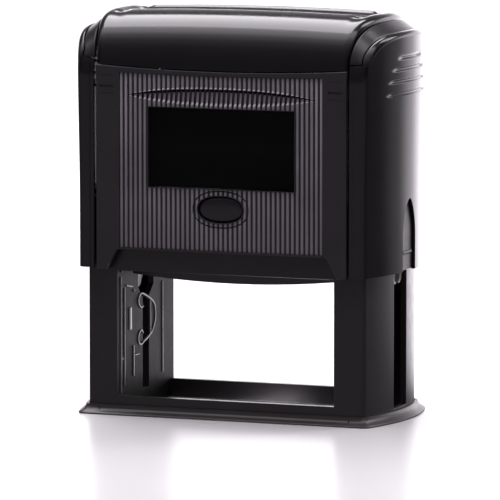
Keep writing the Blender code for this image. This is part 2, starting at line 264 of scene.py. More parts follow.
def place(ob, body, mat, stands_for=()):
    ob.data.materials.clear()
    ob.data.materials.append(mat)
    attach(ob, body)
    if stands_for:
        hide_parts(*stands_for)
    return ob


# ---- materials: moulded plastics and the rest -----------------------------------
def new_mat(name):
    m = bpy.data.materials.new(name)
    m.use_nodes = True
    return m, m.node_tree, m.node_tree.nodes["Principled BSDF"]


def noise(nt, scale, detail=3.0, rough=0.55, coord=None):
    if coord is None:
        coord = nt.nodes.new("ShaderNodeTexCoord").outputs["Object"]
    n = nt.nodes.new("ShaderNodeTexNoise")
    n.inputs["Scale"].default_value = scale
    n.inputs["Detail"].default_value = detail
    n.inputs["Roughness"].default_value = rough
    nt.links.new(coord, n.inputs["Vector"])
    return n.outputs["Fac"], coord


def ramp(nt, fac, c0, c1, p0=0.3, p1=0.7):
    r = nt.nodes.new("ShaderNodeValToRGB")
    r.color_ramp.elements[0].position, r.color_ramp.elements[0].color = p0, (*c0, 1)
    r.color_ramp.elements[1].position, r.color_ramp.elements[1].color = p1, (*c1, 1)
    nt.links.new(fac, r.inputs["Fac"])
    return r.outputs["Color"]


def remap(nt, fac, lo, hi, a=0.3, b=0.7):
    r = nt.nodes.new("ShaderNodeMapRange")
    r.inputs["From Min"].default_value, r.inputs["From Max"].default_value = a, b
    r.inputs["To Min"].default_value, r.inputs["To Max"].default_value = lo, hi
    nt.links.new(fac, r.inputs["Value"])
    return r.outputs["Result"]


def plastic(name, rgb, rough, grain=2600.0, grain_mm=0.004, spread=0.12, wave_mm=0.0, ior=1.5, vary=0.035):
    """Moulded plastic: a little colour drift, uneven gloss, spark-eroded grain."""
    m, nt, b = new_mat(name)
    drift, co = noise(nt, 90.0, 2.0)
    nt.links.new(ramp(nt, drift, [c * (1 - spread) for c in rgb], [c * (1 + spread) for c in rgb]), b.inputs["Base Color"])
    blot, _ = noise(nt, 260.0, 4.0, 0.6, co)
    nt.links.new(remap(nt, blot, rough - vary, rough + vary), b.inputs["Roughness"])
    b.inputs["IOR"].default_value = ior
    fine, _ = noise(nt, grain, 2.0, 0.5, co)
    bp = nt.nodes.new("ShaderNodeBump")
    bp.inputs["Strength"].default_value = 1.0
    bp.inputs["Distance"].default_value = grain_mm * MM
    nt.links.new(fine, bp.inputs["Height"])
    last = bp
    if wave_mm:
        slow, _ = noise(nt, 110.0, 1.0, 0.4, co)
        b2 = nt.nodes.new("ShaderNodeBump")
        b2.inputs["Strength"].default_value = 1.0
        b2.inputs["Distance"].default_value = wave_mm * MM
        nt.links.new(slow, b2.inputs["Height"])
        nt.links.new(bp.outputs["Normal"], b2.inputs["Normal"])
        last = b2
    nt.links.new(last.outputs["Normal"], b.inputs["Normal"])
    return m


gloss = plastic("cover_gloss_abs", (0.0100, 0.0090, 0.0102), 0.15, grain=1800, grain_mm=0.0010, wave_mm=0.005, ior=1.47, vary=0.025)
band_mat = plastic("end_band_abs", (0.0135, 0.0120, 0.0135), 0.30, grain=2200, grain_mm=0.003, ior=1.5)
frame_mat = plastic("frame_abs", (0.024, 0.0215, 0.0225), 0.32, grain=2200, grain_mm=0.003, ior=1.48)
foot_mat = plastic("foot_abs", (0.030, 0.026, 0.027), 0.34, grain=2200, grain_mm=0.003, ior=1.48)
panel_mat = plastic("panel_abs", (0.034, 0.0295, 0.035), 0.40, grain=3200, grain_mm=0.006, ior=1.48)
# the ribs are much lighter than the panel they stand on; part of this is the ribs' own tone and part is painted
# highlight, for light caught on their rounded tops
rib_tone_and_highlight_mat = plastic("rib_tops_tone_and_highlight", (0.32, 0.295, 0.33), 0.45, grain=3200, grain_mm=0.006, ior=1.5)
button_mat = plastic("button_abs", (0.016, 0.0145, 0.016), 0.24, grain=2600, grain_mm=0.002)
acetal = plastic("grey_acetal", (0.10, 0.10, 0.105), 0.38, grain=1800, grain_mm=0.003)
# painted highlight: a light material for rib faces that catch light along the thumb groove
rib_edge_highlight_mat = plastic("rib_edges_painted_highlight", (0.62, 0.58, 0.62), 0.35, grain=2200, grain_mm=0.002)
# painted highlight: the rails moulded on the frame are coloured much lighter than it, for the light their edges catch
rail_highlight_mat = plastic("rail_painted_highlight", (0.22, 0.21, 0.22), 0.25, grain=2200, grain_mm=0.002)
# painted shade: a near-black material put on inside faces and undercuts where shade falls
shade_wall_mat = plastic("inner_wall_painted_shade", (0.003, 0.003, 0.003), 0.55, grain=2600, grain_mm=0.008, ior=1.2)
lug_mat = plastic("axle_block_acetal", (0.42, 0.41, 0.42), 0.35, grain=1800, grain_mm=0.003)
felt = plastic("ink_felt", (0.012, 0.012, 0.026), 0.95, grain=2200, grain_mm=0.09, spread=0.35)
foam = plastic("die_foam", (0.11, 0.11, 0.12), 0.95, grain=1500, grain_mm=0.12, spread=0.2)
rubber = plastic("die_rubber", (0.045, 0.045, 0.052), 0.75, grain=2500, grain_mm=0.01)

card, nt, b = new_mat("label_paper")
f, co = noise(nt, 1500.0, 4.0)
nt.links.new(ramp(nt, f, (0.0006, 0.0006, 0.0006), (0.0014, 0.0013, 0.0014)), b.inputs["Base Color"])
nt.links.new(remap(nt, f, 0.55, 0.7), b.inputs["Roughness"])
b.inputs["IOR"].default_value = 1.15

clear, nt, b = new_mat("clear_window")
f, co = noise(nt, 140.0, 2.0)
b.inputs["Base Color"].default_value = (0.96, 0.96, 0.97, 1)
b.inputs["Transmission Weight"].default_value = 1.0
b.inputs["IOR"].default_value = 1.12
nt.links.new(remap(nt, f, 0.02, 0.06), b.inputs["Roughness"])

steel, nt, b = new_mat("spring_steel")
f, co = noise(nt, 900.0, 3.0)
nt.links.new(ramp(nt, f, (0.46, 0.46, 0.48), (0.62, 0.62, 0.64)), b.inputs["Base Color"])
nt.links.new(remap(nt, f, 0.22, 0.36), b.inputs["Roughness"])
b.inputs["Metallic"].default_value = 1.0

# ---- inner frame -------------------------------------------------------------------
fr = prism("frame_shell", round_plan(FR_HALF_W, FR_HALF_D, FR_BULGE, 1.4), 0, FR_TOP)
cut(fr,
    box("c", -50, 50, -26, -FR_UPPER_HALF_D, FR_STEP_Z, 70),
    box("c", -50, 50, FR_UPPER_HALF_D, 26, FR_STEP_Z, 70),
    box("c", -WIN_HALF_W, WIN_HALF_W, -19, 19, -1, 47.4),
    box("c", -WIN_HALF_W + 0.4, WIN_HALF_W - 0.4, -16.7, 16.7, 47.0, 49.5),
    box("c", -WIN_HALF_W, WIN_HALF_W, -18.3, 18.3, 49.0, 58.6),
    box("c", -WIN_HALF_W, WIN_HALF_W, -30, 30, RAIL_TOP, BAR_BOTTOM),
    box("c", -31.0, 31.0, 17.5, 26, 49.3, 58.3),
    box("c", -4.2, 4.2, -26, -17.5, 51.4, 54.6))
hollow = [(33.9, -19.0)] + side_arc(39.7, 19.0, 2.85) + [(33.9, 19.0)]
for sx in (1, -1):
    cut(fr, prism("c", [(sx * x, y) for x, y in hollow], -1, 58.6))
    xs = sorted((sx * 38.0, sx * 50.0))
    cut(fr, box("c", *xs, -5.0, 5.0, 3.4, 70))
    xs = sorted((sx * 31.0, sx * 35.0))
    head = [(-2.2, 4.9), (2.2, 4.9), (2.2, 31.0), (5.6, 34.0), (5.6, 44.0), (-5.6, 44.0), (-5.6, 34.0), (-2.2, 31.0)]
    cut(fr, prism("c", head, *xs, "X"))
tidy(fr)
bevel(fr, 0.32, 2)
weighted(fr)
place(fr, "frame", frame_mat, ("inner_frame",))
# painted shade: the inside faces of the columns get the near-black second material, for the shade inside the frame
fr.data.materials.append(shade_wall_mat)
for p in fr.data.polygons:
    c = p.center / MM
    if p.normal.x * c.x < 0 and abs(p.normal.x) > 0.8 and 28 < abs(c.x) < 38 and abs(c.y) < 20.5 and 1.5 < c.z:
        p.material_index = 1


# thin guide rails moulded on the inside faces of the columns
def rail(name, pts, w=0.55, x0=WIN_HALF_W + 0.25, x1=WIN_HALF_W - 0.34):
    """A low rail that follows a line of (y, z) on the inner wall; left side."""
    n = len(pts)
    prof = []
    for i, (y, z) in enumerate(pts):
        a = pts[max(i - 1, 0)]
        c = pts[min(i + 1, n - 1)]
        dy, dz = c[0] - a[0], c[1] - a[1]
        ln = math.hypot(dy, dz) or 1.0
        ny, nz = -dz / ln, dy / ln
        h = w / 2
        prof.append([(-x0, y - ny * h, z - nz * h), (-x1 - 0.12, y - ny * h, z - nz * h),
                     (-x1, y - ny * h * 0.6, z - nz * h * 0.6), (-x1, y + ny * h * 0.6, z + nz * h * 0.6),
                     (-x1 - 0.12, y + ny * h, z + nz * h), (-x0, y + ny * h, z + nz * h)])
    return loft(name, prof)


def curve_pts(pts, per=6):
    """Catmull-Rom through the given points."""
    out = []
    for i in range(len(pts) - 1):
        p0, p1 = pts[max(i - 1, 0)], pts[i]
        p2, p3 = pts[i + 1], pts[min(i + 2, len(pts) - 1)]
        for k in range(per):
            t = k / per
            out.append(tuple(0.5 * (2 * p1[j] + (p2[j] - p0[j]) * t + (2 * p0[j] - 5 * p1[j] + 4 * p2[j] - p3[j]) * t * t
                                    + (3 * p1[j] - p0[j] - 3 * p2[j] + p3[j]) * t ** 3) for j in (0, 1)))
    out.append(pts[-1])
    return out


cam_track = curve_pts([(-2.4, 28.3), (-4.3, 28.3), (-5.9, 29.9), (-5.2, 31.5), (-3.3, 32.1), (-0.1, 31.2), (3.7, 29.6),
                       (5.9, 28.1), (6.6, 25.6), (6.4, 23.4), (4.3, 20.7), (1.4, 19.3), (-1.5, 18.4), (-4.4, 17.7),
                       (-5.9, 18.9), (-5.6, 20.8), (-3.7, 21.7), (-2.6, 20.7)])
rails = [rail("r", cam_track), rail("r", [(2.9, 19.9), (2.9, 29.6)], 0.4),
         rail("r", [(-18.5, 5.6), (-18.5, 38.3)], 0.35), rail("r", [(-16.0, 7.4), (-16.0, 35.0)], 0.4),
         rail("r", [(-14.7, 35.6), (-12.4, 35.1), (-10.3, 34.8)], 0.5), rail("r", [(-9.4, 9.4), (-9.4, 18.1)], 0.5),
         rail("r", [(-8.6, 15.2), (-5.3, 15.2)], 0.4), rail("r", [(-11.8, 22.8), (-11.8, 29.0)], 1.9),
         rail("r", [(-9.0, 33.2), (-9.0, 33.9)], 0.7), rail("r", [(-17.9, 39.6), (-17.9, 40.3)], 0.6),
         rail("r", [(-17.6, 14.9), (-17.6, 15.6)], 0.6), rail("r", [(12.0, 8.0), (12.0, 34.0)], 0.4)]
left_rails = join(rails[0], *rails[1:])
left_rails.name = "left_wall_rails"
left_rails.data.shade_smooth()
left_rails.data.set_sharp_from_angle(angle=math.radians(38))
right_rails = mirrored(left_rails, "right_wall_rails")
# painted highlight: the rails get a light colour against the shaded column walls
for r in (left_rails, right_rails):
    place(r, "frame", rail_highlight_mat)

# skirt round the foot, with a lip along the top and a seam near each corner
prof = [(FOOT_HALF_W - 0.25, FOOT_HALF_D - 0.3, FOOT_BULGE, 0.0), (FOOT_HALF_W, FOOT_HALF_D, FOOT_BULGE, 0.2),
        (FOOT_HALF_W, FOOT_HALF_D, FOOT_BULGE, 0.38), (42.9, 23.62, 4.36, 0.58), (42.6, 23.1, 4.25, 0.86), (42.25, 22.6, 4.1, 1.2),
        (41.9, 22.2, 3.95, 1.6), (41.68, 21.95, 3.85, 2.05), (41.58, 21.83, 3.8, 2.45), (41.5, 21.75, 3.75, SKIRT_TOP)]
outs = [[(x, y, z) for x, y in round_plan(a, d, c, 1.6)] for a, d, c, z in prof]
inn = round_plan(41.05, 21.2, 3.5, 1.4)
rings = outs + [[(x, y, SKIRT_TOP) for x, y in inn], [(x, y, 0.0) for x, y in inn]]
sk = loft("foot_skirt", rings, closed=True)
for sx in (1, -1):
    for sy in (1, -1):
        x = sx * 37.2
        ys = sorted((sy * 22.0, sy * 25.0))
        cut(sk, box("c", x - 0.16, x + 0.16, ys[0], ys[1], 1.2, 3.2))
sk.data.shade_smooth()
sk.data.set_sharp_from_angle(angle=math.radians(30))
place(sk, "frame", foot_mat, ("base_skirt",))


# ---- cover: side shells ----------------------------------------------------------------
def se_y(z, top, half, n):
    u = min(max((z - SE_Z0) / (top - SE_Z0), 0.0), 1.0)
    return half * (1 - u ** n) ** (1 / n)


def se_z(y, top, half, n):
    return SE_Z0 + (top - SE_Z0) * (1 - min(abs(y) / half, 1.0) ** n) ** (1 / n)


def se_normal(y, z, top, half, n):
    if z <= SE_Z0:
        return (-1.0, 0.0)
    a = -(abs(y) / half) ** (n - 1) / half
    b = ((z - SE_Z0) / (top - SE_Z0)) ** (n - 1) / (top - SE_Z0)
    ln = math.hypot(a, b)
    return (a / ln, b / ln)


GROOVES = [(101.2, 9.8), (98.1, 12.9), (94.8, 14.8), (91.3, 15.8)]


def groove_depth(y, z):
    d = 0.0
    for zk, yk in GROOVES:
        u = abs(z - zk) / 0.62
        if u < 1 and abs(y) < yk:
            d = max(d, 0.5 * math.cos(u * math.pi / 2) ** 1.4 * smooth(yk, yk - 4.5, abs(y)))
    return d


def taper(z):
    return -0.5 * (1 - smooth(58.0, 100.0, z))


def shell_outer(rad=1.5, cols=56):
    st = [(-CV_HALF_D, z) for z in (CV_BOTTOM, 42.2, 45, 50, 55, 60, 65, 70, 75, 80, 85, 88, 89.6)]
    z = 90.2
    while z < 102.6:
        st.append((-se_y(z, SHELL_TOP, CV_HALF_D, SHELL_N), z))
        z += 0.155
    y0 = st[-1][0]
    y_flat = -6.6
    k = int(abs(y0 - y_flat) / 0.6)
    for i in range(1, k + 1):
        y = y0 + (y_flat - y0) * i / k
        st.append((y, se_z(y, SHELL_TOP, CV_HALF_D, SHELL_N)))
    last_full = len(st) - 1
    for i in range(1, cols // 2 + 1):
        y = y_flat * (1 - 2 * i / cols)
        st.append((y, se_z(y, SHELL_TOP, CV_HALF_D, SHELL_N)))
    rows = []
    for y, z in st:
        ny, nz = se_normal(y, z, SHELL_TOP, CV_HALF_D, SHELL_N)
        front = []
        if z < BAND_Z + 0.05:
            strip = [(37.75, -0.5), (37.95, -0.24), (38.9, -0.2), (39.05, 0.0)]
        else:
            xi = arc_x(CV_HALF_W - 1.0, 22.7, CV_BULGE - 0.8, max(-22.7, y))
            strip = [(xi, -0.12), (xi + 0.1, -0.02), (xi + 0.16, 0.0), (xi + 0.22, 0.0)]
        s_c = arc_x(CV_HALF_W, CV_HALF_D, CV_BULGE, y) + taper(z)
        x_end = s_c - rad
        pts = [(x + (taper(z) if z >= BAND_Z + 0.05 else 0.0), o) for x, o in strip]
        x_last = pts[-1][0]
        for i in (1, 2):
            pts.append((x_last + (x_end - x_last) * i / 3 if x_end > x_last else x_last, 0.0))
        for x, o in pts:
            front.append((x, y + ny * o, z + nz * o))
        r_c = min(rad, s_c - x_last) if s_c > x_last else 0.05
        for i in range(0, 7):
            a = math.pi / 2 * i / 6
            off = -(r_c - r_c * math.cos(a))
            yp, zp = y + ny * off, z + nz * off
            s = arc_x(CV_HALF_W, CV_HALF_D, CV_BULGE, yp) + taper(zp)
            front.append((s - r_c * (1 - math.sin(a)), yp, zp))
        _, yf, zf = front[-1]
        mid = []
        for i in range(1, cols):
            yy = yf + (-2 * yf) * i / cols
            x = arc_x(CV_HALF_W, CV_HALF_D, CV_BULGE, yy) + taper(zf) - groove_depth(yy, zf)
            mid.append((x, yy, zf))
        rows.append((front, mid))
    return rows, last_full


rows, K = shell_outer()
bm = bmesh.new()


def vert(p, flip=1):
    return bm.verts.new((p[0] * MM, flip * p[1] * MM, p[2] * MM))


vr = []
for f_, m_ in rows[:K + 1]:
    if len(vr) == K:
        # the last row down the side is closed by the ends of the rows over the flat top
        ends = [r[0][-1] for r in rows[K + 1:]]
        m_ = ends + [(x, -y, z) for x, y, z in ends[-2::-1]]
    vr.append([vert(p) for p in f_] + [vert(p) for p in m_] + [vert(p, -1) for p in f_[::-1]])
for a, b_ in zip(vr, vr[1:]):
    for i in range(len(a) - 1):
        bm.faces.new((a[i], a[i + 1], b_[i + 1], b_[i]))
NF = len(rows[0][0])
fa, ra = vr[K][:NF], vr[K][:-NF - 1:-1]
for n_, (f_, _) in enumerate(rows[K + 1:]):
    last = n_ == len(rows) - K - 2
    fb = [vert(p) for p in f_[:-1]] + [vr[K][NF + n_]]
    rb_ = fb if last else [vert(p, -1) for p in f_[:-1]] + [vr[K][-NF - 1 - n_]]
    for i in range(NF - 1):
        for quad in ((fa[i], fa[i + 1], fb[i + 1], fb[i]), (ra[i], rb_[i], rb_[i + 1], ra[i + 1])):
            bm.faces.new(quad)
    fa, ra = fb, rb_
bmesh.ops.remove_doubles(bm, verts=bm.verts, dist=0.002 * MM)
bmesh.ops.dissolve_degenerate(bm, edges=bm.edges, dist=0.001 * MM)
rs = obj_from_bm("right_shell", bm)
# the normals of this open sheet must face out before it is given its thickness
mid_face = max(rs.data.polygons, key=lambda p: p.center.x)
if mid_face.normal.x < 0:
    bm = bmesh.new()
    bm.from_mesh(rs.data)
    bmesh.ops.reverse_faces(bm, faces=bm.faces)
    bm.to_mesh(rs.data)
    bm.free()
m = rs.modifiers.new("s", "SOLIDIFY")
m.thickness, m.offset, m.use_even_offset, m.use_rim = 1.25 * MM, -1.0, False, True
apply_mods(rs)
BUL = [(5.0, 38.0), (5.0, 52.0), (4.8, 53.9), (4.35, 55.7), (3.75, 57.3), (3.0, 58.9), (2.1, 60.3), (1.1, 61.35), (0.0, 61.8)]
bullet = BUL + [(-y, z) for y, z in BUL[-2::-1]]
cut(rs, prism("c", bullet, 40, 52, "X"))
rs.data.shade_smooth()
rs.data.set_sharp_from_angle(angle=math.radians(33))
ls = mirrored(rs, "left_shell")
place(rs, "cover", gloss, ("right_side_shell",))
place(ls, "cover", gloss, ("left_side_shell",))

# clips behind the openings of the side shells, with a small raised bar
CLIP = [(4.6, CV_BOTTOM + 0.2), (4.6, 52.0), (4.4, 53.8), (4.0, 55.3), (3.4, 56.9), (2.7, 58.3), (1.9, 59.5), (1.0, 60.6), (0.0, 61.1)]
clip_out = CLIP + [(-y, z) for y, z in CLIP[-2::-1]]
cl = prism("right_clip", clip_out, 43.5, 45.9, "X")
join(cl, box("c", 45.5, 46.3, -3.4, 3.4, 46.3, 47.1))
tidy(cl)
bevel(cl, 0.35, 3)
weighted(cl)
cl2 = mirrored(cl, "left_clip")
place(cl, "cover", frame_mat, ("right_side_clip",))
place(cl2, "cover", frame_mat, ("left_side_clip",))

# ---- cover: end bands and hood --------------------------------------------------------------
def profile(top, half, n, z_from, count, dense=None):
    """(y, z) points over the top at even steps of length, front to rear."""
    N = 900
    h = top - SE_Z0
    t0 = math.asin(((z_from - SE_Z0) / h) ** (n / 2.0))
    pts = []
    for i in range(N + 1):
        t = t0 + (math.pi - 2 * t0) * i / N
        c, s = math.cos(t), math.sin(t)
        pts.append((-half * math.copysign(abs(c) ** (2 / n), c), SE_Z0 + h * abs(s) ** (2 / n)))
    cum = [0.0]
    for p, q in zip(pts, pts[1:]):
        w = 1.0 if dense is None else dense(0.5 * (p[0] + q[0]))
        cum.append(cum[-1] + w * math.hypot(q[0] - p[0], q[1] - p[1]))
    out, j = [], 0
    for i in range(count + 1):
        target = cum[-1] * i / count
        while j < N - 1 and cum[j + 1] < target:
            j += 1
        f = (target - cum[j]) / max(cum[j + 1] - cum[j], 1e-9)
        out.append((pts[j][0] + (pts[j + 1][0] - pts[j][0]) * f, pts[j][1] + (pts[j + 1][1] - pts[j][1]) * f))
    return out


def hood_end(y):
    return PANEL_HALF_W + HOOD_END_BOW * (arc_x(CV_HALF_W, CV_HALF_D, CV_BULGE, y) - CV_HALF_W)


STEPS, COLS = 72, 6
zi = profile(BAND_TOP_IN, CV_HALF_D - 0.15, SHELL_N, BAND_Z + 0.2, STEPS)
zo = profile(BAND_TOP_OUT, CV_HALF_D - 0.15, SHELL_N, BAND_Z + 0.2, STEPS)
ui = profile(BAND_TOP_IN - 1.6, CV_HALF_D - 1.9, SHELL_N, BAND_Z + 0.2, STEPS)
uo = profile(BAND_TOP_OUT - 1.6, CV_HALF_D - 1.9, SHELL_N, BAND_Z + 0.2, STEPS)
rings = []
for a, b_, c, d in zip(zi, zo, ui, uo):
    xo = arc_x(CV_HALF_W - 1.0, 22.7, CV_BULGE - 0.8, max(-22.7, min(22.7, b_[0]))) - 0.35
    xi = hood_end(a[0]) + 0.4
    top = [(xi + (xo - xi) * i / COLS, a[0] + (b_[0] - a[0]) * i / COLS, a[1] + (b_[1] - a[1]) * i / COLS) for i in range(COLS + 1)]
    rings.append(top + [(xo, d[0], d[1]), (xi, c[0], c[1])])
bd = loft("right_band", rings)
bevel(bd, 0.28, 2, 50)
weighted(bd)
bd2 = mirrored(bd, "left_band")
place(bd, "cover", band_mat, ("right_end_band",))
place(bd2, "cover", band_mat, ("left_end_band",))

NX, NP = 72, 132
RIM_X, RIM_Z, RIM_STEPS = 2.2, 1.35, 9
RIDGE_Y, DISH = 8.6, 1.5


def dish(e, y):
    """Depth of the shallow tray in the top; e is the distance in from the hood's end."""
    d = 0.0
    s = (RIDGE_Y - abs(y)) / RIDGE_Y
    if s > 0:
        k = min(s / 0.62, 1.0)
        d = DISH * (1 - (1 - k) ** 2) * smooth(1.9, 6.0, e)
    # a scoop follows the raised rim at each end
    u = (e - 4.9) / 2.7
    if abs(u) < 1:
        d = max(d, math.cos(u * math.pi / 2) ** 2 * (0.95 * smooth(12.5, 8.5, abs(y)) + 0.12 * smooth(20.0, 12.0, abs(y))))
    return d


def stations():
    """(share of the half width, angle round the rim) from the left end to the right."""
    left_ = [(-1.0, math.pi / 2 * (1 - i / RIM_STEPS)) for i in range(RIM_STEPS)]
    mid_ = []
    for i in range(NX + 1):
        t = -1 + 2 * i / NX
        mid_.append((math.copysign(1 - (1 - abs(t)) ** 1.25, t) if t else 0.0, 0.0))
    return left_ + mid_ + [(1.0, a) for _, a in left_[::-1]]


def dense(y):
    return 2.4 if 5.5 < abs(y) < 9.4 else 1.0


cols_o, cols_i = [], []
for f_, ang in stations():
    s_ = f_ * (1 - RIM_X / PANEL_HALF_W) + math.copysign(RIM_X / PANEL_HALF_W * math.sin(ang), f_)
    drop = RIM_Z * (1 - math.cos(ang))
    zt = HOOD_TOP - HOOD_ARCH * s_ * s_
    z_from = PANEL_TOP + 0.25 - PANEL_SAG * (1 - s_ * s_)
    po = profile(zt, CV_HALF_D, HOOD_N, z_from, NP, dense)
    co_, ci_ = [], []
    for y, z in po:
        a = math.copysign((abs(y) / CV_HALF_D) ** (HOOD_N - 1) / CV_HALF_D, y)
        c = (max(z - SE_Z0, 0) / (zt - SE_Z0)) ** (HOOD_N - 1) / (zt - SE_Z0)
        ln = math.hypot(a, c)
        ny, nz = a / ln, c / ln
        xe = hood_end(y)
        x = f_ * (xe - RIM_X) + math.copysign(RIM_X * math.sin(ang), f_)
        dz = dish(xe - abs(x), y)
        co_.append((x, y - ny * drop, z - nz * drop - dz))
        ci_.append((x, y - ny * 2.9, z - nz * 2.9 - dz * 0.4))
    cols_o.append(co_)
    cols_i.append(ci_)
rings = []
for j in range(NP + 1):
    rings.append([c[j] for c in cols_o] + [c[j] for c in cols_i[::-1]])
hd = loft("hood_shell", rings)
hd.data.shade_smooth()
hd.data.set_sharp_from_angle(angle=math.radians(50))
place(hd, "cover", gloss, ("hood",))

# ---- cover: ribbed panels -------------------------------------------------------------------
def panel_outline(k=24):
    top = []
    for i in range(k + 1):
        x = PANEL_HALF_W - 2 * PANEL_HALF_W * i / k
        top.append((x, PANEL_TOP - PANEL_SAG * (1 - (x / PANEL_HALF_W) ** 2)))
    return [(PANEL_HALF_W, LUG_BOTTOM)] + top + [(-PANEL_HALF_W, LUG_BOTTOM), (-LUG_INNER, LUG_BOTTOM),
                                                  (-31.0, PANEL_BOTTOM), (31.0, PANEL_BOTTOM), (LUG_INNER, LUG_BOTTOM)]


def field_top(x):
    return 96.3 - 0.5 * (1 - (x / 30.0) ** 2)


def lens(grow=0.0, k=28):
    up = [(-28.6 + 57.2 * i / k, 90.15 + (2.2 + grow) * (1 - (abs(-28.6 + 57.2 * i / k) / 28.6) ** 2.4)) for i in range(k + 1)]
    lo = [(28.6 - 57.2 * i / k, 90.05 - (2.2 + grow) * (1 - (abs(28.6 - 57.2 * i / k) / 28.6) ** 2.4)) for i in range(k + 1)]
    return up + lo


def lens_edges(x):
    """Lower and upper edge of the long thumb groove at x."""
    h = 2.25 * max(1 - (abs(x) / 28.6) ** 2.4, 0.0)
    return 90.1 - h, 90.1 + h * 0.95


def rib_bars(name, z0, y_top, y_base, groove=False):
    """One body per rib: a bar with rounded shoulders, standing on the panel."""
    bm = bmesh.new()
    h, r = RIB_W / 2, 0.16
    for k in range(RIB_N):
        x = RIB_FIRST + RIB_PITCH * k
        zt = field_top(x)
        st = [(z0, 0.0), (z0 + 0.25, 0.0)]
        st[0] = (z0, 0.2)
        if groove:
            lo_, hi_ = lens_edges(x)
            size = min((hi_ - lo_) / 3.0, 1.0)
            if size > 0.12:
                deep = GROOVE_DEEP * size
                st += [(lo_ - 1.6, 0.0), (lo_ - 0.7 * size, -0.04 * size), (lo_ - 0.35 * size, -0.1 * size), (lo_ - 0.12 * size, -0.06 * size),
                       (lo_ + 0.3 * size, 0.36 * size), (lo_ + 0.55 * size, 0.5 * size)]
                z_a, z_b = lo_ + 0.55 * size, hi_ - 0.8 * size
                for i in range(1, 6):
                    t = i / 6
                    st.append((z_a + (z_b - z_a) * t, 0.5 * size + (deep - 0.5 * size) * t))
                st += [(z_b, deep), (hi_, -0.28 * size), (hi_ + 0.1 * size, -0.33 * size), (hi_ + 0.22 * size, -0.3 * size),
                       (hi_ + 0.52 * size, -0.02 * size), (hi_ + 0.7 * size, 0.0)]
        st += [(zt - 0.2, 0.0), (zt, 0.16)]
        prev = None
        first = None
        for z, dy in st:
            yt = y_top + dy
            sec = [(x - h, y_base), (x - h, yt + r), (x - h + r * 0.3, yt + r * 0.3), (x - h + r, yt),
                   (x + h - r, yt), (x + h - r * 0.3, yt + r * 0.3), (x + h, yt + r), (x + h, y_base)]
            ring = [bm.verts.new((a * MM, y * MM, z * MM)) for a, y in sec]
            if prev:
                for i in range(8):
                    j = (i + 1) % 8
                    bm.faces.new((prev[i], prev[j], ring[j], ring[i]))
            else:
                first = ring
            prev = ring
        bm.faces.new(first)
        bm.faces.new(prev)
    return obj_from_bm(name, bm, smooth=False)


GROOVE_DEEP = 1.0
F = -CV_HALF_D                      # front face of the cover
RT = F + 0.34                       # rib tops, just under the bead of the groove
FB = RT + RIB_H                     # floor between the ribs
field = [(-30.15, 47.35), (30.15, 47.35)] + [(30.15 - 60.3 * i / 16, field_top(30.15 - 60.3 * i / 16) + 0.1) for i in range(17)]
pn = prism("front_panel_plate", panel_outline(), F, F + 1.9, "Y")
bevel(pn, 0.42, 3, 50)
cut(pn, prism("c", field, F - 1, FB, "Y"),
    prism("c", lens(), F - 1, FB + 0.6, "Y"),
    box("c", LABEL_CX - LABEL_HALF_W - 0.15, LABEL_CX + LABEL_HALF_W + 0.15, -26, -23.1, LABEL_Z0 - 0.15, LABEL_Z1 + 0.15),
    prism("c", oval(0, BTN_Z, 8.3, 5.2), -26, -20, "Y"))
# short marks in the plain strips either side of the ribs
for sx in (1, -1):
    xs = sorted((sx * 31.9, sx * 36.0))
    cut(pn, box("c", *xs, F - 1, F + 0.42, 92.1, 92.75), box("c", *xs, F - 1, F + 0.12, 95.2, 95.5),
        box("c", *xs, F - 1, F + 0.12, 90.3, 90.65))
tidy(pn, 0.3)
bevel(pn, 0.12, 2, 42)
weighted(pn)
place(pn, "cover", panel_mat, ("front_panel",))

ribs = rib_bars("front_ribs", 47.4, RT, F + 1.75, True)
cut(ribs, box("c", LABEL_CX - LABEL_HALF_W - 0.45, LABEL_CX + LABEL_HALF_W + 0.45, -26, -22.0, LABEL_Z0 - 0.3, LABEL_Z1 + 0.3),
    prism("c", oval(0, BTN_Z, 8.35, 5.25), -26, -20, "Y"))
ribs.data.shade_smooth()
ribs.data.set_sharp_from_angle(angle=math.radians(40))
place(ribs, "cover", rib_tone_and_highlight_mat)
# painted shade: the undercut below the groove's upper edge and the rib sides deep in it get the near-black material of
# the columns' inside faces
ribs.data.materials.append(shade_wall_mat)
ribs.data.materials.append(rib_edge_highlight_mat)
for p in ribs.data.polygons:
    c = p.center / MM
    lo_, hi_ = lens_edges(c.x)
    if (p.normal.z < -0.25 and lo_ < c.z < hi_ + 0.05) or (abs(p.normal.x) > 0.9 and c.y > RT + 0.45 and lo_ < c.z < hi_):
        p.material_index = 1
    # painted highlight: faces looking upwards along the groove get a light material, for the light their bead catches
    elif p.normal.z > 0.3 and lo_ - 0.5 < c.z < hi_ + 0.8:
        p.material_index = 2

# frame round the label recess
rim = box("label_rim", LABEL_CX - LABEL_HALF_W - 0.44, LABEL_CX + LABEL_HALF_W + 0.44, F + 0.05, FB + 0.3, LABEL_Z0 - 0.29, LABEL_Z1 + 0.29)
cut(rim, box("c", LABEL_CX - LABEL_HALF_W - 0.1, LABEL_CX + LABEL_HALF_W + 0.1, -26, -20, LABEL_Z0 - 0.1, LABEL_Z1 + 0.1))
cut(rim, prism("c", oval(0, BTN_Z, 8.35, 5.25), -26, -20, "Y"))
bevel(rim, 0.07, 2)
place(rim, "cover", panel_mat)

